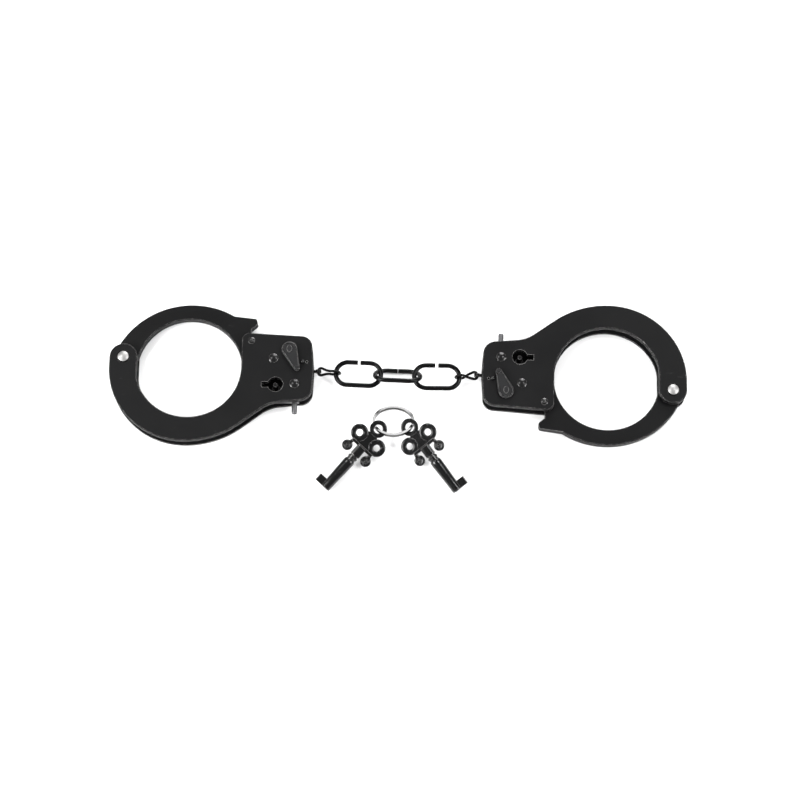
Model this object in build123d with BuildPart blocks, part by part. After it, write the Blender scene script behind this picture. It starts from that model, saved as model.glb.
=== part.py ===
"""Novelty handcuffs: two cuffs with single ratchet arms, a three-link chain, and two keys on a split ring.

Millimetres, +Z up, lying on the rear plates. The origin is under the centre of the whole set.
Each cuff is drawn once in its own frame, with the centre of the wrist opening at (0, 0) and the chain
end towards +X, and placed by its plane.
"""

import os
from math import cos, radians, sin, sqrt

from build123d import *

# ---- the set on the table ----
LEFT_WRIST = (-101.4, 14.6)  # centre of the left wrist opening
CUFF_SPACING = (202.9, -5.7)  # from the left wrist centre to the right one
RIGHT_TURN = 178.2  # degrees, the right cuff's own +X direction

# ---- cuff plates, levels above the table ----
REAR_THICK = 1.6
GAP_TOP = 7.0
CUFF_THICK = 9.4
FRONT_THICK = CUFF_THICK - GAP_TOP
MID_Z = (REAR_THICK + GAP_TOP) / 2
EDGE_BEVEL = 0.35
WRIST_R = 25.6
PIVOT = (-31.85, 5.2)
PIVOT_END_R = 6.75
ARM_R = 37.7
ARM_CENTRE = (-0.9, 0.2)
ARM_BLEND_R = 15.0  # where the arm's straight inner edge meets the wrist circle
BODY_END_X = 60.7
SWIVEL_Y = -0.9

# Corners of the lock body from the hollow under the arm round to the wrist opening, and their roundings
BODY_CORNERS = ((39.4, -18.45), (59.9, -16.6), (BODY_END_X, SWIVEL_Y), (59.6, 15.5), (WRIST_R, 17.6))
BODY_ROUNDS = (17.0, 6.3, 20.0, 5.5, 3.5)

# ---- fasteners of a cuff ----
FIT = 0.03  # radial gap of a fixed rivet in its hole
RUNNING = 0.05  # radial gap of a turning shaft in its hole
PIVOT_SHANK_R = 2.0
RIVET_A = (41.2, 4.2)
RIVET_A_R = 1.5
RIVET_B = (51.5, -8.9)
RIVET_B_R = 1.1
CORNER = (30.3, 13.3)
CORNER_R = 1.2
STUD = (55.4, 2.3)
STUD_R = 0.75
SPRING_PIN = (37.6, 13.0)
SPRING_PIN_R = 1.0
KEY_POST = (42.3, -9.2)
KEY_POST_R = 1.2
POST_TAIL_R = 0.9
POST_TOP = 8.7

# Rivet holes sunk into the rear plate: centre, shank radius, sunk head radius
REAR_RIVETS = (
    (PIVOT, PIVOT_SHANK_R, PIVOT_SHANK_R + 1.0),
    (RIVET_A, RIVET_A_R, RIVET_A_R + 0.8),
    (RIVET_B, RIVET_B_R, RIVET_B_R + 0.8),
    (CORNER, CORNER_R, CORNER_R + 0.6),
    (STUD, STUD_R, STUD_R + 0.6),
    (KEY_POST, POST_TAIL_R, POST_TAIL_R + 0.6),
)

# ---- jaw ----
JAW_LOW = 1.9
JAW_HIGH = 6.1
JAW_OUTER_CENTRE = (0.6, -6.7)
JAW_OUTER_R = 39.9
# The stop hook, from the end of the outer arc round its nose to the foot of its notch
JAW_HOOK = ((21.6, 27.1), (32.4, 25.8), (33.0, 23.2), (29.7, 20.4), (29.9, 14.9))
RATCHET_IN = 57.7
RATCHET_TIP = 61.2
TOOTH_DEPTH = 1.1
TOOTH_PITCH = 1.9  # degrees about the pivot
TOOTH_COUNT = 13
RATCHET_END = 22.0  # degrees below the pivot's +X

# ---- lock works ----
PAWL_CLEAR = 0.3  # the pawl rests drawn back this far from the tooth tips
PAWL_LOW = 1.9
PAWL_THICK = 4.2
PAWL_NOSE = ((27.0, -7.6), (27.6, -2.2), (37.5, 6.4), (41.2, 5.0), (41.8, -4.2), (37.5, -4.2), (35.2, -7.6))
PAWL_ARM = ((41.2, 2.0), (41.2, 7.3), (46.6, 7.7), (46.6, 6.05), (43.6, 5.4))
KEYHOLE_R = 3.75
KEYHOLE_SLOT = (6.7, 2.8)  # reach from the post, width
LEVER = (48.9, 8.5)
LEVER_TIP = (52.6, -1.2)
LEVER_LOW = CUFF_THICK + 0.5
LEVER_THICK = 1.2
SHAFT_R = 1.3
CRANK_END = (47.7, 5.1)
LOCK_PIN_R = 1.35
LOCK_PIN_TIP = -22.8
LOCK_TRAVEL = 3.0

# Round holes through the front plate: centre and radius; the last one locates the end block
FRONT_HOLES = (
    (PIVOT, PIVOT_SHANK_R + FIT),
    (RIVET_A, RIVET_A_R + FIT),
    (RIVET_B, RIVET_B_R + FIT),
    (CORNER, CORNER_R + FIT),
    (STUD, STUD_R + FIT),
    (LEVER, SHAFT_R + RUNNING),
    ((57.4, 2.3), 0.6),
)

# ---- swivel, connector and chain ----
BAR_X = 62.9  # cross hole of the swivel, in the cuff's frame
SWIVEL_R = 0.8
BAR_HOLE_R = 0.85
CONNECTOR_WIRE_R = 0.65
CONNECTOR_REACH = 9.73  # cross bar to the contact with the chain link
LINK_WIRE_R = 1.15
LINK_STRAIGHT = 5.17  # half of the straight stretch
LINK_BEND = 5.85
LINK_INNER = LINK_STRAIGHT + LINK_BEND - LINK_WIRE_R
EYE_GAP = 0.15  # play between a connector's eye and its link
LINK_GAP = 0.6  # play between two links
LEFT_CONNECTOR_YAW = -4.6
LINK_YAWS = (-4.2, -2.5, 0.5)
LINK_ROLLS = (0.0, -48.0, 0.0)
LINK_PITCHES = (3.7, 0.0, -3.7)  # the middle link leans on its edge and holds its neighbours' ends up
LINK_SPLITS = (1.3, 0.2, 1.5)

# ---- key ring and keys ----
RING_OUTER_R = 10.2
RING_WIDTH = 1.3
RING_TURN = 0.7
RING_COILS = 1.97
RING_CENTRE = (99.5, -26.65)  # from the left wrist centre
RING_TILT = 27.0
RING_Z = RING_OUTER_R * sin(radians(RING_TILT)) + RING_TURN + 0.06
KEY_BOW_OUTER_R = 4.3
KEY_RING_HOLE_R = 2.1  # the bow's end hole, which the split ring passes through
KEY_SIDE_HOLE_R = 1.65
KEY_SIDE_AT = (7.3, 5.7)
KEY_RIM_HIGH = 0.75  # half the end rim's thickness
KEY_SIDE_RIM_HIGH = 1.05  # half a side rim's thickness
KEY_CROSSBAR_X = 11.9
KEY_SCROLL_AT = (15.7, 6.1)
KEY_SCROLL_R = 1.75  # centre line of the scroll's raised rim
KEY_SCROLL_RIM_R = 0.9
KEY_SHAFT_X = 16.0  # where the square neck meets the collar
KEY_LENGTH = 38.2  # bow centre to tip
KEY_TIP_R = 2.4
KEY_BORE_R = 1.35
KEY_BIT = (6.3, 4.0, 1.8)  # reach from the axis, width, thickness
KEY_ROLL = 25.0
# Bow centre and tip of each key on the table, from the left wrist centre, then the bow's height
LEFT_KEY = ((92.2, -31.5), (66.9, -58.9), 8.1)
RIGHT_KEY = ((107.25, -30.45), (130.2, -60.5), 7.8)


def from_left(x, y, z=0.0):
    """A point given from the left wrist centre, in the set's frame."""
    return (LEFT_WRIST[0] + x, LEFT_WRIST[1] + y, z)


def heading(angle):
    return (cos(radians(angle)), sin(radians(angle)), 0)


def about_pivot(radius, angle):
    """A point in the cuff's frame, polar about the jaw's pivot."""
    return (PIVOT[0] + radius * cos(radians(angle)), PIVOT[1] + radius * sin(radians(angle)))


LEFT_CUFF = Plane(origin=from_left(0, 0), z_dir=(0, 0, 1))
RIGHT_CUFF = Plane(origin=from_left(*CUFF_SPACING), x_dir=heading(RIGHT_TURN), z_dir=(0, 0, 1))


def nearest(shapes, x, y):
    return shapes.sort_by_distance((x, y, 0))[0]


# ---- plates ----


def plate_shape():
    """The outline both plates share: an arm hooked round the wrist, and the lock body."""
    end_right = PIVOT[0] + PIVOT_END_R
    meet_y = -sqrt(WRIST_R**2 - end_right**2)
    diagonal = ARM_R * sin(radians(45))
    arm_left = (ARM_CENTRE[0] - ARM_R, ARM_CENTRE[1])
    arm_bottom = (ARM_CENTRE[0], ARM_CENTRE[1] - ARM_R)
    with BuildLine() as outline:
        ThreePointArc((end_right, PIVOT[1]), (PIVOT[0], PIVOT[1] + PIVOT_END_R), (arm_left[0], PIVOT[1]))
        Line((arm_left[0], PIVOT[1]), arm_left)
        ThreePointArc(arm_left, (ARM_CENTRE[0] - diagonal, ARM_CENTRE[1] - diagonal), arm_bottom)
        belly = TangentArc(arm_bottom, (26.0, -28.4), tangent=(1, 0))
        Polyline(belly @ 1, *BODY_CORNERS, (WRIST_R, 0))
        ThreePointArc((WRIST_R, 0), (0, -WRIST_R), (end_right, meet_y))
        Line((end_right, meet_y), (end_right, PIVOT[1]))
    make_face(outline.edges())


def round_corners(flat, corners, radii):
    for corner, radius in zip(corners, radii):
        fillet(nearest(flat.vertices(), *corner), radius)


def rear_plate(cuff):
    with BuildPart() as plate:
        with BuildSketch(cuff) as flat:
            plate_shape()
            round_corners(flat, BODY_CORNERS, BODY_ROUNDS)
            fillet(nearest(flat.vertices(), -WRIST_R, 0), ARM_BLEND_R)
        extrude(amount=REAR_THICK)
        chamfer(plate.faces().sort_by(Axis.Z)[0].edges(), EDGE_BEVEL)
        for centre, shank, head in REAR_RIVETS:
            with Locations(cuff * Pos(*centre, 0) * Rot(180, 0, 0)):
                CounterSinkHole(shank + FIT, head + FIT, REAR_THICK, counter_sink_angle=90)
    return plate


def front_plate(cuff):
    with BuildPart() as plate:
        with BuildSketch(cuff.offset(GAP_TOP)) as flat:
            plate_shape()
            round_corners(flat, BODY_CORNERS, BODY_ROUNDS)
            fillet(nearest(flat.vertices(), -WRIST_R, 0), ARM_BLEND_R)
        extrude(amount=FRONT_THICK)
        chamfer(plate.faces().sort_by(Axis.Z)[-1].edges(), EDGE_BEVEL)
        with BuildSketch(cuff.offset(GAP_TOP)):
            for centre, radius in FRONT_HOLES:
                with Locations(centre):
                    Circle(radius)
            with Locations(KEY_POST):
                Circle(KEYHOLE_R)
            with Locations((KEY_POST[0] - KEYHOLE_SLOT[0] / 2, KEY_POST[1])):
                Rectangle(KEYHOLE_SLOT[0], KEYHOLE_SLOT[1])
        extrude(amount=FRONT_THICK, mode=Mode.SUBTRACT)
    return plate


def rivet(cuff, centre, radius, sink, head, height):
    """A stud through both plates: sunk flush behind, with a domed head in front."""
    top = CUFF_THICK + height
    with BuildPart() as stud:
        with BuildSketch(cuff * Pos(*centre, 0) * Rot(90, 0, 0)):
            with BuildLine():
                side = Polyline(
                    (0, top),
                    (0, 0),
                    (sink, 0),
                    (radius, sink - radius),
                    (radius, CUFF_THICK),
                    (head, CUFF_THICK),
                    (head, CUFF_THICK + 0.3 * height),
                )
                TangentArc((0, top), side @ 1, tangent=(1, 0))
            make_face()
        revolve(axis=Axis((cuff * Pos(*centre, 0)).position, (0, 0, 1)))
    return stud


def pivot_rivet(cuff):
    return rivet(cuff, PIVOT, PIVOT_SHANK_R, PIVOT_SHANK_R + 1.0, 2.6, 1.2)


def body_rivets(cuff):
    """The two lock body rivets and the small dimpled corner rivet that the closed jaw rests on."""
    with BuildPart() as studs:
        add(rivet(cuff, RIVET_A, RIVET_A_R, RIVET_A_R + 0.8, 2.3, 0.9))
        add(rivet(cuff, RIVET_B, RIVET_B_R, RIVET_B_R + 0.8, 2.3, 0.9))
        add(rivet(cuff, CORNER, CORNER_R, CORNER_R + 0.6, 1.7, 0.6))
        with Locations(cuff * Pos(*CORNER, CUFF_THICK + 0.2)):
            Cone(0.3, 0.8, 0.5, align=(Align.CENTER, Align.CENTER, Align.MIN), mode=Mode.SUBTRACT)
    return studs


def lever_stop(cuff):
    """The stud that the release lever rests against, right through the end block."""
    return rivet(cuff, STUD, STUD_R, STUD_R + 0.6, 1.05, 1.6)


def pivot_washers(cuff):
    with BuildPart() as washers:
        with BuildSketch(cuff.offset(REAR_THICK)):
            washer_ring()
        extrude(amount=JAW_LOW - REAR_THICK - RUNNING)
        with BuildSketch(cuff.offset(JAW_HIGH + RUNNING)):
            washer_ring()
        extrude(amount=GAP_TOP - JAW_HIGH - RUNNING)
    return washers


def washer_ring():
    with Locations(PIVOT):
        Circle(5.4)
        Circle(PIVOT_SHANK_R + RUNNING, mode=Mode.SUBTRACT)


def key_post(cuff):
    """The pin that the hollow key slides over, riveted to the rear plate through its foot."""
    with BuildPart() as post:
        with BuildSketch(cuff * Pos(*KEY_POST, 0) * Rot(90, 0, 0)):
            foot = REAR_THICK + 0.5
            Polygon(
                (0, 0),
                (POST_TAIL_R + 0.6, 0),
                (POST_TAIL_R, 0.6),
                (POST_TAIL_R, REAR_THICK),
                (2.0, REAR_THICK),
                (2.0, foot),
                (KEY_POST_R, foot),
                (KEY_POST_R, POST_TOP - 0.3),
                (KEY_POST_R - 0.3, POST_TOP),
                (0, POST_TOP),
            )
        revolve(axis=Axis((cuff * Pos(*KEY_POST, 0)).position, (0, 0, 1)))
    return post


def spring_pin(cuff):
    with BuildPart() as pin:
        with BuildSketch(cuff.offset(REAR_THICK)):
            with Locations(SPRING_PIN):
                Circle(SPRING_PIN_R)
        extrude(amount=GAP_TOP - REAR_THICK)
    return pin


def end_block(cuff):
    """Fills the chain end between the plates and holds the swivel's head in an open pocket."""
    with BuildPart() as block:
        with BuildSketch(cuff.offset(REAR_THICK)):
            with Locations(((54.2 + 59.5) / 2, -0.5)):
                Rectangle(59.5 - 54.2, 10.2)
        extrude(amount=GAP_TOP - REAR_THICK)
        fillet(block.edges().filter_by(Axis.Z), 0.4)
        with BuildSketch(cuff.offset(MID_Z - 2.3)):
            with Locations((57.4, SWIVEL_Y)):
                Rectangle(1.6, 4.6)
        extrude(amount=GAP_TOP, mode=Mode.SUBTRACT)
        with BuildSketch(cuff.offset(MID_Z - SWIVEL_R - 0.1)):
            with Locations((59.0, SWIVEL_Y)):
                Rectangle(3.0, 2 * SWIVEL_R + 0.2)
        extrude(amount=GAP_TOP, mode=Mode.SUBTRACT)
        with BuildSketch(cuff):
            with Locations(STUD):
                Circle(STUD_R + FIT)
            with Locations((55.6, -4.85)):
                Rectangle(0.46, 1.6)
        extrude(amount=CUFF_THICK, mode=Mode.SUBTRACT)
    return block


# ---- jaw ----


def jaw(cuff):
    """The single arm: a crescent over the wrist, a stop hook, and the toothed tail in the lock."""
    outer_start = (
        JAW_OUTER_CENTRE[0] + JAW_OUTER_R * cos(radians(162)),
        JAW_OUTER_CENTRE[1] + JAW_OUTER_R * sin(radians(162)),
    )
    shoulder = about_pivot(RATCHET_TIP, 9.1)
    tail_outer = about_pivot(RATCHET_TIP - TOOTH_DEPTH, -RATCHET_END - 0.9)
    tail_inner = about_pivot(RATCHET_IN + 0.3, -RATCHET_END - 1.2)
    inner_top = (25.6, -0.2)
    with BuildPart() as arm:
        with BuildSketch(cuff.offset(JAW_LOW)) as flat:
            with BuildLine():
                crown = (JAW_OUTER_CENTRE[0], JAW_OUTER_CENTRE[1] + JAW_OUTER_R)
                ThreePointArc(outer_start, crown, JAW_HOOK[0])
                Polyline(*JAW_HOOK, shoulder)
                teeth_end = about_pivot(RATCHET_TIP, -RATCHET_END)
                ThreePointArc(shoulder, about_pivot(RATCHET_TIP, -6), teeth_end)
                Polyline(teeth_end, tail_outer, tail_inner)
                ThreePointArc(tail_inner, about_pivot(RATCHET_IN, -14), inner_top)
                ThreePointArc(inner_top, (0, WRIST_R), (-25.0, 5.5))
                Line((-25.0, 5.5), outer_start)
            make_face()
            round_corners(flat, JAW_HOOK[1:4], (1.2, 1.2, 1.0))
            with Locations(PIVOT):
                Circle(6.2)
                Circle(PIVOT_SHANK_R + RUNNING, mode=Mode.SUBTRACT)
        extrude(amount=JAW_HIGH - JAW_LOW)
        rims = arm.edges().filter_by(GeomType.LINE, reverse=True).filter_by(lambda e: e.length > 20)
        chamfer(rims, EDGE_BEVEL)
        with BuildSketch(cuff.offset(JAW_LOW)):
            with Locations(PIVOT):
                with PolarLocations(
                    0, TOOTH_COUNT, 2.0 - RATCHET_END, (TOOTH_COUNT - 1) * TOOTH_PITCH, endpoint=True
                ):
                    Polygon(*tooth_gap(RATCHET_TIP + 0.01, TOOTH_DEPTH, 1), align=(Align.NONE, Align.NONE))
        extrude(amount=JAW_HIGH - JAW_LOW, mode=Mode.SUBTRACT)
    return arm


def tooth_gap(tip, depth, way):
    """A saw-tooth notch on the pivot's +X: a radial face and a ramp towards +Y (way 1) or -Y (way -1)."""
    far = (tip * cos(radians(TOOTH_PITCH)), way * tip * sin(radians(TOOTH_PITCH)))
    return [(tip, 0), (tip - way * depth, 0), far]


# ---- lock works ----


def pawl(cuff):
    """A bell crank on rivet A: a toothed nose, a tail for the key's bit, an arm for the lever's crank."""
    reach = RATCHET_TIP + PAWL_CLEAR
    with BuildPart() as crank:
        with BuildSketch(cuff.offset(PAWL_LOW)) as flat:
            Polygon(*PAWL_NOSE)
            Polygon(*PAWL_ARM)
            with Locations(RIVET_A):
                Circle(3.1)
            fillet(nearest(flat.vertices(), *PAWL_NOSE[-1]), 0.8)
            fillet(nearest(flat.vertices(), *PAWL_NOSE[4]), 0.8)
            with Locations(PIVOT):
                Circle(reach, mode=Mode.SUBTRACT)
            with Locations(RIVET_A):
                Circle(RIVET_A_R + RUNNING, mode=Mode.SUBTRACT)
            with Locations(PIVOT):
                with PolarLocations(0, 3, -11.0, 2 * TOOTH_PITCH, endpoint=True):
                    Polygon(*tooth_gap(reach - 0.01, TOOTH_DEPTH, -1), mode=Mode.SUBTRACT)
        extrude(amount=PAWL_THICK)
    return crank


def pawl_spring(cuff):
    """A leaf curled round its pin that presses on the pawl's arm."""
    with BuildPart() as leaf:
        with BuildSketch(cuff.offset(PAWL_LOW + 0.6)):
            with BuildLine():
                curl = CenterArc(SPRING_PIN, SPRING_PIN_R + 0.25, 200, -290)
                ThreePointArc(curl @ 1, (41.6, 10.6), (45.9, 7.98))
            trace(line_width=0.4)
        extrude(amount=PAWL_THICK - 1.2)
    return leaf


def lock_slide(cuff):
    """The double-lock slide: a pin outside, a slotted stem on rivet B, and a hooked arm under the pawl."""
    low, high = MID_Z - 1.3, MID_Z + 1.3
    rest = KEY_POST[1] - KEY_BIT[0]
    with BuildPart() as slide:
        with BuildSketch(cuff.offset(low)):
            Polygon((49.1, -17.0), (49.1, -5.9), (53.7, -5.9), (53.7, -17.0))
            Polygon((32.6, -17.0), (32.6, -10.9), (35.0, -10.9), (35.0, rest), (53.0, rest), (53.0, -17.0))
            slot_width = 2 * RIVET_B_R + 0.3
            with Locations((RIVET_B[0], RIVET_B[1] - LOCK_TRAVEL / 2)):
                SlotOverall(slot_width + LOCK_TRAVEL + 0.1, slot_width, rotation=90, mode=Mode.SUBTRACT)
            with Locations((53.9, -11.5), (53.9, -11.5 - LOCK_TRAVEL)):
                Circle(0.55, mode=Mode.SUBTRACT)
        extrude(amount=high - low)
        with BuildSketch(cuff * Pos(RIVET_B[0], -15.6, MID_Z) * Rot(90, 0, 0)):
            Circle(LOCK_PIN_R)
        extrude(amount=-15.6 - LOCK_PIN_TIP)
        fillet(slide.edges().filter_by(GeomType.CIRCLE).sort_by_distance(pin_tip(cuff))[0], 0.9)
    return slide


def pin_tip(cuff):
    return (cuff * Pos(RIVET_B[0], LOCK_PIN_TIP, MID_Z)).position


def slide_spring(cuff):
    """The detent leaf, held in the end block, whose bulge drops into the slide's two notches."""
    with BuildPart() as leaf:
        with BuildSketch(cuff.offset(MID_Z - 1.2)):
            with BuildLine():
                Polyline((55.6, -4.2), (55.5, -9.4), (54.0, -11.5), (54.9, -13.4))
            trace(line_width=0.4)
        extrude(amount=2.4)
    return leaf


def release_lever(cuff):
    """The teardrop lever on the front plate, with a boss under it and a thumb nub on its tip."""
    with BuildPart() as lever:
        with BuildSketch(cuff.offset(LEVER_LOW)):
            with Locations(LEVER):
                Circle(3.8)
            with Locations(LEVER_TIP):
                Circle(1.45)
            make_hull()
        extrude(amount=LEVER_THICK)
        chamfer(lever.faces().sort_by(Axis.Z)[-1].edges(), 0.3)
        with BuildSketch(cuff.offset(CUFF_THICK + RUNNING)):
            with Locations(LEVER):
                Circle(2.5)
        extrude(amount=LEVER_LOW - CUFF_THICK)
        with BuildSketch(cuff.offset(LEVER_LOW + LEVER_THICK)):
            with Locations(LEVER_TIP):
                Circle(1.1)
        extrude(amount=0.9, taper=8)
        fillet(lever.edges().sort_by(Axis.Z)[-1], 0.35)
        with BuildSketch(cuff.offset(CUFF_THICK)):
            with Locations(LEVER):
                Circle(SHAFT_R + FIT)
        extrude(amount=LEVER_LOW + LEVER_THICK - CUFF_THICK, mode=Mode.SUBTRACT)
    return lever


def lever_crank(cuff):
    """The lever's shaft: a crank between the plates and an oval rivet head over the lever."""
    low, high = MID_Z + 0.4, GAP_TOP - 0.2
    top = LEVER_LOW + LEVER_THICK
    with BuildPart() as shaft:
        with BuildSketch(cuff.offset(low)):
            with Locations(LEVER):
                Circle(2.0)
            with BuildLine():
                Line(LEVER, CRANK_END)
            trace(line_width=1.2)
            with Locations(CRANK_END):
                Circle(0.8)
        extrude(amount=high - low)
        with BuildSketch(cuff.offset(high)):
            with Locations(LEVER):
                Circle(SHAFT_R)
        extrude(amount=top - high)
        with BuildSketch(cuff.offset(top)):
            with Locations(LEVER):
                Ellipse(1.35, 1.9)
        extrude(amount=0.5, taper=20)
    return shaft


# ---- swivels and chain ----


def swivel(cuff):
    """A headed stud, free to turn in the end block, with a cross hole in its flat outer end."""
    with BuildPart() as stud:
        with BuildSketch(cuff * Pos(56.8, SWIVEL_Y, MID_Z) * Rot(0, 90, 0)):
            Circle(2.0)
        extrude(amount=1.2)
        with BuildSketch(cuff * Pos(58.0, SWIVEL_Y, MID_Z) * Rot(0, 90, 0)):
            Circle(SWIVEL_R)
        extrude(amount=BAR_X - 1.1 - 58.0)
        with BuildSketch(cuff * Pos(BAR_X, SWIVEL_Y + 0.75, MID_Z) * Rot(90, 0, 0)):
            Circle(1.35)
        extrude(amount=1.5)
        with BuildSketch(cuff * Pos(BAR_X, SWIVEL_Y + 2, MID_Z) * Rot(90, 0, 0)):
            Circle(BAR_HOLE_R)
        extrude(amount=4, mode=Mode.SUBTRACT)
    return stud


def connector(place):
    """Bent wire, butt-jointed inside the swivel: a cross bar, a narrow waist, then an upright eye."""
    half = [
        (0.0, 0.75, 0.0),
        (0.32, 1.45, 0.0),
        (1.05, 1.78, 0.0),
        (2.6, 1.4, 0.0),
        (4.3, 0.8, 0.2),
        (5.7, 0.35, 1.2),
        (7.3, 0.0, 2.35),
        (9.1, 0.0, 2.1),
        (10.15, 0.0, 1.1),
    ]
    crown = (CONNECTOR_REACH + EYE_GAP / 2 + CONNECTOR_WIRE_R, 0.0, 0.0)
    back = [(x, -y, -z) for x, y, z in reversed(half)]
    start, end = (0.0, 0.03, 0.0), (0.0, -0.03, 0.0)
    with BuildPart() as bend:
        with BuildLine():
            points = (start, *half, crown, *back, end)
            Spline(*points, tangents=((0, 1, 0), (0, 1, 0)), tangent_scalars=(1, 1))
        with BuildSketch(Plane(start, z_dir=(0, 1, 0))):
            Circle(CONNECTOR_WIRE_R)
        sweep()
    with BuildPart() as wire:
        with Locations(place):
            add(bend.part)
    return wire


def chain_link(place, split):
    """A straight-sided link of round wire, its joint left open by split in the middle of the far side."""
    with BuildPart() as link:
        with BuildLine(place) as wire:
            Line((split / 2, LINK_BEND), (LINK_STRAIGHT, LINK_BEND))
            ThreePointArc(
                (LINK_STRAIGHT, LINK_BEND), (LINK_STRAIGHT + LINK_BEND, 0), (LINK_STRAIGHT, -LINK_BEND)
            )
            Line((LINK_STRAIGHT, -LINK_BEND), (-LINK_STRAIGHT, -LINK_BEND))
            ThreePointArc(
                (-LINK_STRAIGHT, -LINK_BEND), (-LINK_STRAIGHT - LINK_BEND, 0), (-LINK_STRAIGHT, LINK_BEND)
            )
            Line((-LINK_STRAIGHT, LINK_BEND), (-split / 2, LINK_BEND))
        with BuildSketch(Plane(wire.line @ 0, z_dir=wire.line % 0)):
            Circle(LINK_WIRE_R)
        sweep()
    return link


def bar_point(cuff):
    return (cuff * Pos(BAR_X, SWIVEL_Y, MID_Z)).position


def lifted(along):
    """The most upright direction square to along."""
    return Vector(0, 0, 1) - along * along.Z


def chain_places():
    """Planes of the three links, laid end to end from the left connector's eye."""
    contact = bar_point(LEFT_CUFF) + CONNECTOR_REACH * Vector(*heading(LEFT_CONNECTOR_YAW))
    places = []
    for index, (yaw, roll, pitch) in enumerate(zip(LINK_YAWS, LINK_ROLLS, LINK_PITCHES)):
        along = Vector(*heading(yaw)) * cos(radians(pitch)) + Vector(0, 0, sin(radians(pitch)))
        near = LINK_INNER - (LINK_GAP if index > 0 else EYE_GAP) / 2
        far = LINK_INNER - (LINK_GAP if index < 2 else EYE_GAP) / 2
        centre = contact + near * along
        places.append(Plane(Plane(centre, x_dir=along, z_dir=lifted(along)) * Rot(roll, 0, 0)))
        contact = centre + far * along
    return places, contact


# ---- ring and keys ----


def key_ring(place):
    """A split ring of flat wire, wound twice."""
    mean_r = RING_OUTER_R - RING_WIDTH / 2
    with BuildPart() as coil:
        with BuildLine() as path:
            Helix(pitch=RING_TURN, height=RING_TURN * RING_COILS, radius=mean_r, center=(0, 0, -RING_TURN))
        with BuildSketch(Plane(path.line @ 0, x_dir=(1, 0, 0), z_dir=path.line % 0)):
            Rectangle(RING_WIDTH, RING_TURN - 0.06)
        sweep(is_frenet=True)
    with BuildPart() as ring:
        with Locations(place):
            add(coil.part)
    return ring


def rim(place, x, y, hole_r, half_high):
    """One round rim of the key's bow, with a rounded section."""
    centre = place * Pos(x, y, 0)
    wide = KEY_BOW_OUTER_R - hole_r
    with BuildSketch(centre * Rot(90, 0, 0)) as section:
        with Locations(((KEY_BOW_OUTER_R + hole_r) / 2, 0)):
            RectangleRounded(wide, 2 * half_high, 0.8 * half_high)
    revolve(section.sketch, axis=Axis(centre.position, place.z_dir))


def key(place, outer_side):
    """A hollow-barrelled key: a bow of three rims and a web, a crossbar with two scrolls, shaft, bit."""
    side_x, side_y = KEY_SIDE_AT
    scroll_x, scroll_y = KEY_SCROLL_AT
    collar_x = KEY_SHAFT_X + 1.0
    barrel_x = KEY_SHAFT_X + 3.8
    with BuildPart() as blank:
        with BuildSketch(place.offset(-0.6)):
            Polygon((2.6, 1.8), (5.0, 3.4), (11.2, 4.4), (11.2, -4.4), (5.0, -3.4), (2.6, -1.8))
        extrude(amount=1.2)
        rim(place, 0, 0, KEY_RING_HOLE_R, KEY_RIM_HIGH)
        rim(place, side_x, side_y, KEY_SIDE_HOLE_R, KEY_SIDE_RIM_HIGH)
        rim(place, side_x, -side_y, KEY_SIDE_HOLE_R, KEY_SIDE_RIM_HIGH)
        with BuildSketch(place.offset(-1.2)):
            with Locations((KEY_CROSSBAR_X, 0)):
                Rectangle(1.4, 12.6)
        extrude(amount=2.4)
        with BuildSketch(place.offset(-0.9)):
            for side in (1, -1):
                with BuildLine():
                    Line((KEY_CROSSBAR_X, side * 5.6), (14.4, side * 6.2))
                trace(line_width=1.6)
        extrude(amount=1.8)
        for side in (1, -1):
            with Locations(place * Pos(scroll_x, side * scroll_y, 0)):
                Torus(KEY_SCROLL_R, KEY_SCROLL_RIM_R)
                Cylinder(KEY_SCROLL_R, KEY_SCROLL_RIM_R)
                Sphere(KEY_SCROLL_RIM_R)
        with BuildSketch(place * Pos(KEY_CROSSBAR_X, 0, 0) * Rot(0, 90, 0)):
            RectangleRounded(4.0, 4.7, 1.2)
        extrude(amount=collar_x + 0.2 - KEY_CROSSBAR_X)
        with BuildSketch(place):
            with BuildLine():
                Polyline(
                    (collar_x, 0), (collar_x, 2.0), (collar_x + 0.6, 2.0), (collar_x + 1.0, 2.5),
                    (collar_x + 1.8, 2.5), (collar_x + 2.2, 2.15), (barrel_x, 2.15),
                )
                Spline(
                    (barrel_x, 2.15), (22.6, 2.75), (28.0, 2.6), (KEY_LENGTH - 0.3, KEY_TIP_R),
                    tangents=((0.6, 0.8), (1, 0)),
                )
                Polyline((KEY_LENGTH - 0.3, KEY_TIP_R), (KEY_LENGTH, KEY_TIP_R - 0.3), (KEY_LENGTH, 0),
                         (collar_x, 0))
            make_face()
        revolve(axis=Axis(place.origin, place.x_dir))
        with BuildSketch(place.offset(-KEY_BIT[2] / 2)):
            with Locations((KEY_LENGTH - KEY_BIT[1] / 2, outer_side * (KEY_BIT[0] / 2 + 0.8))):
                Rectangle(KEY_BIT[1], KEY_BIT[0] - 1.6)
        extrude(amount=KEY_BIT[2])
        with BuildSketch(place * Pos(KEY_LENGTH, 0, 0) * Rot(0, 90, 0)):
            Circle(KEY_BORE_R)
        extrude(amount=-8, mode=Mode.SUBTRACT)
    return blank


def key_place(ends, outer_side):
    """The plane of a key lying on its tip, its bow held up by the ring and rolled outer side up.

    outer_side is 1 where the bit and the outer edge are on the key's own +Y and -1 on its -Y.
    """
    bow = Vector(*from_left(*ends[0], ends[2]))
    tip = Vector(*from_left(*ends[1], KEY_TIP_R + 0.05))
    along = (tip - bow).normalized()
    flat = Plane(bow, x_dir=along, z_dir=lifted(along))
    return Plane(flat * Rot(outer_side * KEY_ROLL, 0, 0))


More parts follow.
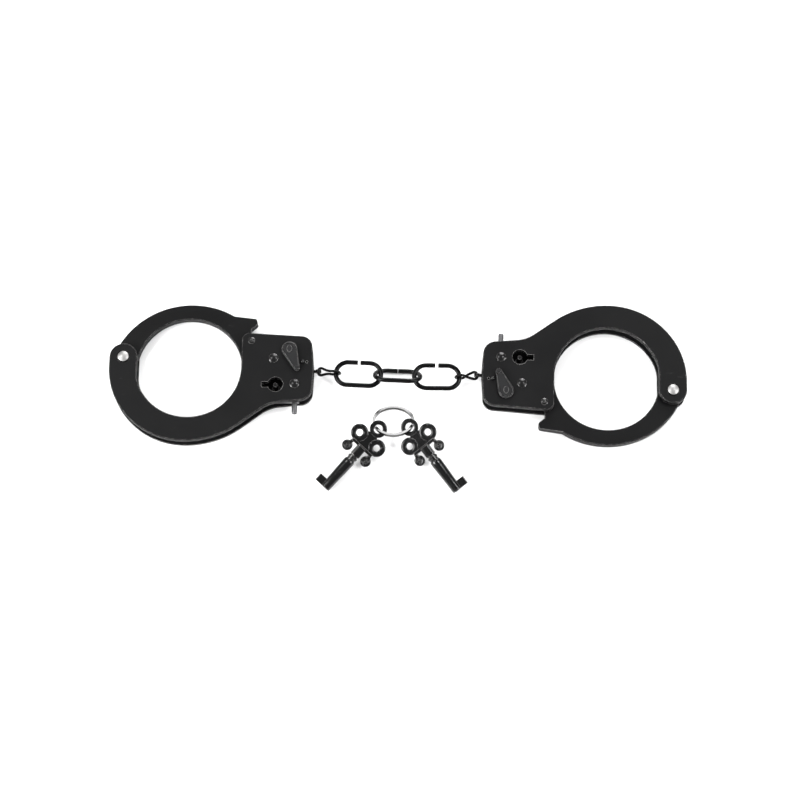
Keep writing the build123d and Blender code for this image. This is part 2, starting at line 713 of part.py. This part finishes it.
def save(piece, label):
    piece.part.label = label
    export_step(piece.part, f"parts/{label}.step")


CUFF_PIECES = {
    "rear_plate": rear_plate,
    "front_plate": front_plate,
    "pivot_rivet": pivot_rivet,
    "pivot_washers": pivot_washers,
    "body_rivets": body_rivets,
    "lever_stop": lever_stop,
    "end_block": end_block,
    "key_post": key_post,
    "spring_pin": spring_pin,
    "jaw": jaw,
    "pawl": pawl,
    "pawl_spring": pawl_spring,
    "lock_slide": lock_slide,
    "slide_spring": slide_spring,
    "release_lever": release_lever,
    "lever_crank": lever_crank,
    "swivel": swivel,
}

os.makedirs("parts", exist_ok=True)

for side, cuff_plane in (("left", LEFT_CUFF), ("right", RIGHT_CUFF)):
    for piece_name, make in CUFF_PIECES.items():
        save(make(cuff_plane), f"{side}_{piece_name}")

link_places, last_contact = chain_places()
for number, (link_place, link_split) in enumerate(zip(link_places, LINK_SPLITS), start=1):
    save(chain_link(link_place, link_split), f"chain_link_{number}")

left_bar = Plane(bar_point(LEFT_CUFF), x_dir=heading(LEFT_CONNECTOR_YAW), z_dir=(0, 0, 1))
right_bar = Plane(bar_point(RIGHT_CUFF), x_dir=last_contact - bar_point(RIGHT_CUFF), z_dir=(0, 0, 1))
save(connector(left_bar), "left_connector")
save(connector(right_bar), "right_connector")

ring_place = Plane(Plane(from_left(*RING_CENTRE, RING_Z), z_dir=(0, 0, 1)) * Rot(-RING_TILT, 0, 0))
save(key_ring(ring_place), "key_ring")
save(key(key_place(LEFT_KEY, -1), -1), "left_key")
save(key(key_place(RIGHT_KEY, 1), 1), "right_key")
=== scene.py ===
# %% [markdown]
# Black novelty handcuffs with a three-link chain and two ornate keys, dressed in Blender around the
# finished CAD model. Every cell makes one thing or one finish, says why it is made that way, and
# prints what it made. The model is in metres, lying on its back plates, with +Z up.

from math import cos, radians, sin

import bpy
import bmesh
from mathutils import Matrix, Vector


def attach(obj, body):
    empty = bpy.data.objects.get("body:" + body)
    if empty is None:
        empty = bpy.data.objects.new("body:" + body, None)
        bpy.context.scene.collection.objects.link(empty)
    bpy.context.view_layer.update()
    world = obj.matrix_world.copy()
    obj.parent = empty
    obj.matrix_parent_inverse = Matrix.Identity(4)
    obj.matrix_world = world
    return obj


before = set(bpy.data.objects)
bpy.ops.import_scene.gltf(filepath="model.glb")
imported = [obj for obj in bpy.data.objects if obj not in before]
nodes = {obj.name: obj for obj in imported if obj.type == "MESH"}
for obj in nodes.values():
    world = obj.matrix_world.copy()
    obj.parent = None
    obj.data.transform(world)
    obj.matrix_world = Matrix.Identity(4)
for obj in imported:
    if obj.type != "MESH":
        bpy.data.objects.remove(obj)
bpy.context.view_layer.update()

# %% [markdown]
# The camera looks down steeply from the side where the keys lie. It could stand close with a short
# lens, but that would make the nearer rims of the cuffs look larger than the far ones. A long lens a
# good way off keeps them almost free of perspective. The whole set fills most of the width.

# %% The camera
MM = 0.001
CAMERA_ELEVATION = radians(71.5)
CAMERA_DISTANCE = 0.900
LOOK_AT = Vector((1.2 * MM, -1.15 * MM, 5 * MM))
SENSOR_WIDTH = 36.0
FOCAL_LENGTH_IN_SENSOR_WIDTHS = 2.322375
LENS = FOCAL_LENGTH_IN_SENSOR_WIDTHS * SENSOR_WIDTH

lens_data = bpy.data.cameras.new("long_lens")
lens_data.sensor_width = SENSOR_WIDTH
lens_data.lens = LENS
camera = bpy.data.objects.new("camera", lens_data)
bpy.context.collection.objects.link(camera)
towards_camera = Vector((0, -cos(CAMERA_ELEVATION), sin(CAMERA_ELEVATION)))
camera.location = LOOK_AT + towards_camera * CAMERA_DISTANCE
camera.rotation_euler = (radians(90) - CAMERA_ELEVATION, 0, 0)
bpy.context.scene.camera = camera
print("camera", tuple(round(c, 3) for c in camera.location), "lens", round(LENS, 1), "mm")

# %% [markdown]
# A finish is a tree of shader nodes. It could be wired one node at a time, but sums are easier to
# read as arithmetic. A Wire is one socket's output: adding, subtracting or multiplying two of them,
# or one and a number, makes the Math node that does it. The reflected forms let the number come
# first.

# %% Arithmetic on node sockets
class Wire:
    """The output of a node, with arithmetic."""

    def __init__(self, recipe, socket):
        self.recipe = recipe
        self.socket = socket

    def math(self, operation, first, second):
        return self.recipe.node("ShaderNodeMath", {"operation": operation}, {0: first, 1: second})

    def __add__(self, other):
        return self.math("ADD", self, other)

    def __radd__(self, other):
        return self.math("ADD", self, other)

    def __sub__(self, other):
        return self.math("SUBTRACT", self, other)

    def __rsub__(self, other):
        return self.math("SUBTRACT", other, self)

    def __mul__(self, other):
        return self.math("MULTIPLY", self, other)

    def __rmul__(self, other):
        return self.math("MULTIPLY", self, other)


print("a wire adds, subtracts and multiplies")

# %% [markdown]
# A Recipe is one material. Its node method makes any node from its type, its settings and what goes
# into its sockets, and the rest are the few patterns that every finish here shares: noise in the
# object's own coordinates, a soft step, a blend of two colours, and a mask of the edges. The mask
# could come from the mesh's pointiness, but that is known only at a mesh's corners, and a flat CAD
# face has none between its rims, so it would smear. The Bevel node rounds the normals instead, and
# where they differ from the flat ones there is an edge.

# %% One material and its patterns
BEVEL_SAMPLES = 6
EDGE_GAIN = 6.0  # makes the small difference of the two normals reach 1 along a sharp edge
MIX_FIRST, MIX_SECOND, MIX_RESULT = 6, 7, 2  # a Mix node's colour sockets, which share their names


class Recipe:
    """One material and the nodes it is made of."""

    def __init__(self, name):
        self.material = bpy.data.materials.new(name)
        self.material.use_nodes = True
        self.tree = self.material.node_tree
        self.surface = self.tree.nodes["Principled BSDF"]

    def fill(self, socket, value):
        if isinstance(value, Wire):
            self.tree.links.new(value.socket, socket)
        else:
            socket.default_value = value

    def node(self, kind, settings, values, output=0):
        made = self.tree.nodes.new(kind)
        for name, value in settings.items():
            setattr(made, name, value)
        for name, value in values.items():
            self.fill(made.inputs[name], value)
        return Wire(self, made.outputs[output])

    def noise(self, scale, detail=3.0, roughness=0.5, stretch=None):
        """Noise of about scale patches per metre; a stretch below 1 draws it out along that axis."""
        where = self.node("ShaderNodeTexCoord", {}, {}, output="Object")
        if stretch:
            where = self.node("ShaderNodeMapping", {}, {"Vector": where, "Scale": stretch})
        pattern = {"Vector": where, "Scale": scale, "Detail": detail, "Roughness": roughness}
        return self.node("ShaderNodeTexNoise", {}, pattern, output="Fac")

    def between(self, value, low, high):
        """0 below low, 1 above high."""
        limits = {"Value": value, "From Min": low, "From Max": high}
        return self.node("ShaderNodeMapRange", {"clamp": True}, limits)

    def edge(self, radius):
        """0 on flat faces, rising towards 1 along edges sharper than the radius."""
        rounded = self.node("ShaderNodeBevel", {"samples": BEVEL_SAMPLES}, {"Radius": radius})
        flat = self.node("ShaderNodeNewGeometry", {}, {}, output="Normal")
        product = {"operation": "DOT_PRODUCT"}
        alike = self.node("ShaderNodeVectorMath", product, {0: rounded, 1: flat}, output="Value")
        return (1.0 - alike) * EDGE_GAIN

    def mix(self, amount, first, second):
        sockets = {"Factor": amount, MIX_FIRST: first, MIX_SECOND: second}
        return self.node("ShaderNodeMix", {"data_type": "RGBA"}, sockets, output=MIX_RESULT)

    def finish(self, bump, depth, **inputs):
        """Fills the surface's sockets; bump is a height in 0..1 that stands depth metres proud."""
        for name, value in inputs.items():
            socket_name = name.replace("_", " ").title().replace("Ior", "IOR")
            self.fill(self.surface.inputs[socket_name], value)
        height = {"Height": bump, "Distance": depth, "Strength": 1.0}
        relief = self.node("ShaderNodeBump", {}, height, output="Normal")
        self.fill(self.surface.inputs["Normal"], relief)
        print("finish", self.material.name, len(self.tree.nodes), "nodes")
        return self.material


def tinted(level, tint):
    """An opaque colour: the tint's red, green and blue, each times the level."""
    return tuple(level * part for part in tint) + (1,)


def dress(material, *names):
    """Puts one material on CAD nodes; a name without a side stands for both cuffs' nodes."""
    for name in names:
        for full in (name, "left_" + name, "right_" + name):
            if full in nodes:
                nodes[full].data.materials.clear()
                nodes[full].data.materials.append(material)


print("patterns: noise, between, edge, mix")

# %% [markdown]
# The plates are stamped steel with a baked satin black coat. A single flat black would be simpler,
# but it looks like plastic. The real coat is a little thicker in places, has a fine grain from
# spraying, a few hair scratches, and is rubbed thin along the edges. Noise at several scales makes
# the clouds, grain and scratches. The edge mask, broken up by one more noise, paints a grey line
# along the edges that is partly rubbed metal showing through and partly a painted highlight on the
# edges.

# %% Satin black coat for plates and jaws
CLOUDS_PER_M = 55  # soft patches, about 18 mm across
GRAINS_PER_M = 3800  # spray grain, about 0.3 mm
SCRATCHES_PER_M = 260
SCRATCH_STRETCH = (0.15, 1.0, 1.0)
SCRATCH_THRESHOLD = (0.66, 0.74)  # only the noise's highest crests are scratches
SCRATCH_STRENGTH = 0.25
WEAR_PATCHES_PER_M = 420
WEAR_THRESHOLD = (0.3, 0.6)
EDGE_RADIUS = 0.35 * MM
EDGE_THRESHOLD = (0.25, 1.0)
DARK_TINT = (0.75, 0.76, 0.8)  # the coat where it is thickest, as a share of its own brightness
LIGHT_TINT = (1.3, 1.3, 1.34)
SCUFF_COLOUR = (0.09, 0.09, 0.092, 1)
# the grey of the edge line: partly rubbed metal, partly a painted highlight along the edges
RUBBED_AND_HIGHLIGHT_COLOUR = (0.50, 0.49, 0.48, 1)
RUBBED_METALLIC = 0.8
RUBBED_POLISH = 0.12  # how much smoother the rubbed metal is than the coat
CLOUD_ROUGHNESS = 0.16
GRAIN_ROUGHNESS = 0.08
GRAIN_SHARE = 0.7  # of the bump, the rest being clouds


def black_coat(name, face, rough, wear_and_highlight, grain_depth, shine):
    """Black coat over steel.

    face is its brightness, rough its middle roughness, wear_and_highlight how far the edges show a
    grey line that is partly rubbed metal and partly a painted highlight, grain_depth the height of
    its grain in metres, and shine the strength of its reflections.
    """
    coat = Recipe(name)
    clouds = coat.noise(CLOUDS_PER_M, detail=4)
    grain = coat.noise(GRAINS_PER_M, detail=2)
    scratches = coat.noise(SCRATCHES_PER_M, detail=5, roughness=0.7, stretch=SCRATCH_STRETCH)
    edges = coat.between(coat.edge(EDGE_RADIUS), *EDGE_THRESHOLD)
    wear = coat.between(coat.noise(WEAR_PATCHES_PER_M, detail=3), *WEAR_THRESHOLD)
    # The edge line: partly rubbed metal showing through the coat, partly a painted highlight along
    # the edges.
    rubbed_and_highlight = edges * wear * wear_and_highlight
    shade = coat.mix(clouds, tinted(face, DARK_TINT), tinted(face, LIGHT_TINT))
    scuffs = coat.between(scratches, *SCRATCH_THRESHOLD) * SCRATCH_STRENGTH
    scuffed = coat.mix(scuffs, shade, SCUFF_COLOUR)
    uneven = (clouds - 0.5) * CLOUD_ROUGHNESS + (grain - 0.5) * GRAIN_ROUGHNESS
    return coat.finish(
        bump=grain * GRAIN_SHARE + clouds * (1 - GRAIN_SHARE),
        depth=grain_depth,
        base_color=coat.mix(rubbed_and_highlight, scuffed, RUBBED_AND_HIGHLIGHT_COLOUR),
        roughness=rough + uneven - rubbed_and_highlight * RUBBED_POLISH,
        metallic=rubbed_and_highlight * RUBBED_METALLIC,
        specular_ior_level=shine,
    )


GRAIN = 0.012 * MM
FINE_GRAIN = 0.010 * MM
SMOOTHEST_GRAIN = 0.008 * MM
plate_black = black_coat(
    "satin_black_plate", face=0.0048, rough=0.46, wear_and_highlight=0.95, grain_depth=GRAIN, shine=0.08
)
jaw_black = black_coat(
    "satin_black_jaw", face=0.0040, rough=0.44, wear_and_highlight=0.8, grain_depth=GRAIN, shine=0.075
)
dress(plate_black, "front_plate", "rear_plate")
dress(jaw_black, "jaw")

# %% [markdown]
# Rivet heads, levers, chain and keys have the same coat but were tumbled, so it is smoother. They
# could have a recipe each, but one recipe with other numbers keeps them alike, as they are. Rivets
# and keys shine most, the levers are a little greyer, and the chain has the faintest edge line of
# rubbed metal and painted highlight.

# %% Glossier black for rivets, levers, chain and keys
rivet_black = black_coat(
    "tumbled_black_rivet", face=0.0030, rough=0.22, wear_and_highlight=0.7, grain_depth=FINE_GRAIN, shine=0.32
)
lever_black = black_coat(
    "tumbled_black_lever", face=0.0120, rough=0.34, wear_and_highlight=1.0, grain_depth=FINE_GRAIN, shine=0.16
)
chain_black = black_coat(
    "tumbled_black_chain", face=0.0012, rough=0.18, wear_and_highlight=0.25, grain_depth=GRAIN, shine=0.11
)
key_black = black_coat(
    "cast_black_key", face=0.0010, rough=0.11, wear_and_highlight=0.8, grain_depth=SMOOTHEST_GRAIN, shine=0.4
)
dress(rivet_black, "body_rivets", "lever_stop", "key_post")
dress(lever_black, "release_lever", "lever_crank")
dress(chain_black, "swivel", "connector", "chain_link_1", "chain_link_2", "chain_link_3")
dress(key_black, "left_key", "right_key")

# %% [markdown]
# The pivot heads are satin nickel, and the split ring is a darker, glossier wire. The lock's inner
# pieces are zinc-plated, its springs are blued, and its slide is dark. Metal of one even roughness
# would be simpler, but it looks unused, so noise stands for two kinds of mark: broad fingerprints
# that cloud the shine, and fine lines from turning or drawing, stretched along the work.

# %% Nickel, ring wire, zinc, blued steel and the slide
PRINTS_PER_M = 300
PRINT_SHADE = 0.82  # a fingerprint's brightness, as a share of the clean metal's
PRINT_THRESHOLD = (0.25, 0.8)
TURNING_LINES_PER_M = 2600
TURNING_DEPTH = 0.006 * MM
TURNING_ROUGHNESS = 0.05


def bare_metal(name, tint, smoothest, roughest, marks):
    """Plated metal; marks stretches its turning lines, so the smallest number is along them."""
    metal = Recipe(name)
    prints = metal.noise(PRINTS_PER_M, detail=4, roughness=0.6)
    turning = metal.noise(TURNING_LINES_PER_M, detail=2, stretch=marks)
    clouded = metal.between(prints, *PRINT_THRESHOLD) * (roughest - smoothest)
    return metal.finish(
        bump=turning,
        depth=TURNING_DEPTH,
        base_color=metal.mix(prints, tinted(PRINT_SHADE, tint), tinted(1, tint)),
        metallic=1.0,
        roughness=clouded + smoothest + (turning - 0.5) * TURNING_ROUGHNESS,
    )


nickel = bare_metal(
    "bright_nickel", tint=(0.36, 0.355, 0.35), smoothest=0.42, roughest=0.58, marks=(1, 1, 0.1)
)
ring_steel = bare_metal(
    "bright_ring_wire", tint=(0.10, 0.10, 0.10), smoothest=0.16, roughest=0.28, marks=(0.2, 0.2, 1)
)
zinc = bare_metal(
    "zinc_plate", tint=(0.46, 0.46, 0.47), smoothest=0.32, roughest=0.5, marks=(1, 0.2, 1)
)
blued = bare_metal(
    "blued_spring_steel", tint=(0.20, 0.22, 0.28), smoothest=0.25, roughest=0.4, marks=(1, 1, 0.2)
)
slide_grey = bare_metal(
    "dark_plated_slide", tint=(0.13, 0.13, 0.133), smoothest=0.3, roughest=0.45, marks=(0.2, 1, 0.2)
)
dress(nickel, "pivot_rivet", "pivot_washers")
dress(ring_steel, "key_ring")
dress(zinc, "spring_pin", "end_block", "pawl")
dress(blued, "pawl_spring", "slide_spring")
dress(slide_grey, "lock_slide")

# %% [markdown]
# Two small things are added on each cuff: a dark ring round the pivot head, which is painted shade
# standing in for the shadow that rings the head, and a bead round the release lever's top, pressed
# after the coat goes on. They could be cut into the CAD parts, but they carry nothing, so they are
# shaped here. Their places come first, in millimetres, because the cuffs are two copies of one part,
# and the right one is turned about.

# %% Where the cuffs, pivots and levers are
CUFF_ORIGINS = {"left": Vector((-101.4, 14.6, 0)), "right": Vector((101.5, 8.9, 0))}
CUFF_TURNS = {"left": 0.0, "right": radians(178.2)}
PLATE_TOP = 9.4
LEVER_TOP = 11.1
PIVOT_AT = (-31.85, 5.2)  # in a cuff's own plane, as are the lever's two
LEVER_AT = (48.9, 8.5)
LEVER_TIP_AT = (52.6, -1.2)


def in_cuff(side, x, y, z):
    """A point of a cuff's own plane, in the scene's metres."""
    turned = Matrix.Rotation(CUFF_TURNS[side], 3, "Z") @ Vector((x, y, 0))
    return (CUFF_ORIGINS[side] + turned + Vector((0, 0, z))) * MM


print("left pivot", tuple(round(c, 4) for c in in_cuff("left", *PIVOT_AT, PLATE_TOP)))

# %% [markdown]
# The bead is bent wire and the dark ring of painted shade is round as well, so each starts as a
# torus and isn't left as one. The same two helpers open it in edit mode and, once it is shaped, move
# it to its place, turn its faces outwards and fix it to the body that it moves with.

# %% A torus to shape, and how a shaped piece is fixed on
SEGMENTS_ROUND_RING = 72
SEGMENTS_ROUND_WIRE = 14


def edit_torus(name, ring_r, wire_r):
    """A smooth torus at the origin, left open in edit mode with everything selected."""
    bpy.ops.object.select_all(action="DESELECT")
    bpy.ops.mesh.primitive_torus_add(
        major_segments=SEGMENTS_ROUND_RING,
        minor_segments=SEGMENTS_ROUND_WIRE,
        major_radius=ring_r * MM,
        minor_radius=wire_r * MM,
    )
    piece = bpy.context.object
    piece.name = name
    bpy.ops.object.shade_smooth()
    bpy.ops.object.mode_set(mode="EDIT")
    bpy.ops.mesh.select_all(action="SELECT")
    return piece


def close_piece(piece, place, material, body):
    """Moves the edited mesh to its place, closes edit mode and fixes the piece to its body."""
    bpy.ops.mesh.select_all(action="SELECT")
    bpy.ops.transform.translate(value=place)
    bpy.ops.mesh.normals_make_consistent(inside=False)
    bpy.ops.object.mode_set(mode="OBJECT")
    piece.data.materials.append(material)
    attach(piece, body)
    print(piece.name, len(piece.data.polygons), "faces on", body)


print("a torus has", SEGMENTS_ROUND_RING * SEGMENTS_ROUND_WIRE, "faces")

# %% [markdown]
# The shade ring is a low dark ring round the pivot's head, painted shade for the shadow that rings
# the head. It could be made from a flat washer, but a torus squashed along Z has the rolled shoulder
# already, in one step.

# %% Pivot shade ring (painted shade)
SHADE_RING_R = 2.85
SHADE_RING_WIRE_R = 0.42
SHADE_RING_SQUASH = 0.45


def pivot_shade_ring(side):
    shade_ring = edit_torus(side + "_pivot_shade_ring", SHADE_RING_R, SHADE_RING_WIRE_R)
    bpy.ops.transform.resize(value=(1, 1, SHADE_RING_SQUASH), center_override=(0, 0, 0))
    place = in_cuff(side, *PIVOT_AT, PLATE_TOP)
    # A dark ring of painted shade round the pivot head, in the chain's black.
    close_piece(shade_ring, place, chain_black, side + "_frame")


print("a collar is", 2 * (SHADE_RING_R + SHADE_RING_WIRE_R), "mm across")

# %% [markdown]
# The bead follows the rim of the lever's teardrop top. It could be a wire swept along the outline,
# but the outline is a circle with a smaller one drawn out from it, and edit mode makes that from the
# torus: the part on the tip's side is selected, shrunk, and moved out to the tip.

# %% Lever bead
BEAD_R = 3.05
BEAD_WIRE_R = 0.27
TIP_SHARE = 0.36  # the bead's radius at the tip, as a share of BEAD_R
WAIST_SHARE = 0.1  # how far past the middle the drawn-out part starts, as a share of BEAD_R


def lever_bead(side):
    bead = edit_torus(side + "_lever_bead", BEAD_R, BEAD_WIRE_R)
    place = in_cuff(side, *LEVER_AT, LEVER_TOP)
    reach = in_cuff(side, *LEVER_TIP_AT, LEVER_TOP) - place
    bpy.ops.mesh.select_all(action="DESELECT")
    bead_mesh = bmesh.from_edit_mesh(bead.data)
    for corner in bead_mesh.verts:
        corner.select = corner.co.dot(reach.normalized()) > WAIST_SHARE * BEAD_R * MM
    bead_mesh.select_flush(True)
    bmesh.update_edit_mesh(bead.data)
    bpy.ops.transform.resize(value=(TIP_SHARE, TIP_SHARE, 1), center_override=(0, 0, 0))
    bpy.ops.transform.translate(value=reach)
    close_piece(bead, place, rivet_black, side + "_lever")


print("a bead's wire is", 2 * BEAD_WIRE_R, "mm thick")

# %% Pivot shade rings and lever beads on both cuffs
for side in ("left", "right"):
    pivot_shade_ring(side)
    lever_bead(side)

# %% [markdown]
# The set lies on a plain white sheet. One light overhead would be simpler, but flat faces seen from
# above would mirror it and turn grey. So large soft panels stand low round the set: the faces mirror
# the room between them and stay black, while bevels and round edges catch the panels as thin bright
# lines. Two small windows higher up draw the narrow lines of light along the keys, the chain, the
# ring and the rivet heads. The colours are shown with the Standard view, because the usual film-like
# one would turn the white sheet grey.

# %% Floor
FLOOR_SIZE = 6
FLOOR_CELLS = 8
FIBRES_PER_M = 900
FIBRE_DEPTH = 0.02 * MM
PAPER_ROUGHNESS = 0.85
PAPER_DARK = (0.9, 0.9, 0.9, 1)
PAPER_LIGHT = (0.93, 0.93, 0.93, 1)

paper = Recipe("white_paper")
fibres = paper.noise(FIBRES_PER_M, detail=3)
paper.finish(
    bump=fibres,
    depth=FIBRE_DEPTH,
    base_color=paper.mix(fibres, PAPER_DARK, PAPER_LIGHT),
    roughness=PAPER_ROUGHNESS,
)
bpy.ops.object.select_all(action="DESELECT")
bpy.ops.mesh.primitive_grid_add(
    x_subdivisions=FLOOR_CELLS, y_subdivisions=FLOOR_CELLS, size=FLOOR_SIZE, location=(0, 0, 0)
)
floor = bpy.context.object
floor.name = "floor"
floor.data.materials.append(paper.material)
print("floor", FLOOR_SIZE, "m square")

# %% Panels and room
PANEL_SIZE = 0.8
FRONT_PANEL_SIZE = 0.6
WINDOW_SIZE = 0.14
ROOM_COLOUR = (1, 1, 1, 1)
ROOM_STRENGTH = 0.42


def panel(name, place, size, watts):
    """A square light panel that faces the middle of the set."""
    data = bpy.data.lights.new(name, "AREA")
    data.size = size
    data.energy = watts
    lamp = bpy.data.objects.new(name, data)
    bpy.context.collection.objects.link(lamp)
    lamp.location = place
    lamp.rotation_euler = Vector(place).to_track_quat("Z", "Y").to_euler()


panel("left_panel", place=(-1.15, -0.35, 0.75), size=PANEL_SIZE, watts=33)
panel("right_panel", place=(1.15, -0.25, 0.75), size=PANEL_SIZE, watts=19)
panel("back_panel", place=(0.25, 1.3, 0.65), size=PANEL_SIZE, watts=20)
panel("front_panel", place=(-0.2, -1.3, 0.6), size=FRONT_PANEL_SIZE, watts=4)
panel("left_window", place=(-0.50, 0.33, 0.93), size=WINDOW_SIZE, watts=3.0)
panel("right_window", place=(0.48, 0.28, 0.93), size=WINDOW_SIZE, watts=2.4)

room = bpy.data.worlds.new("room")
bpy.context.scene.world = room
room.use_nodes = True
background = room.node_tree.nodes["Background"]
background.inputs["Color"].default_value = ROOM_COLOUR
background.inputs["Strength"].default_value = ROOM_STRENGTH
bpy.context.scene.view_settings.view_transform = "Standard"
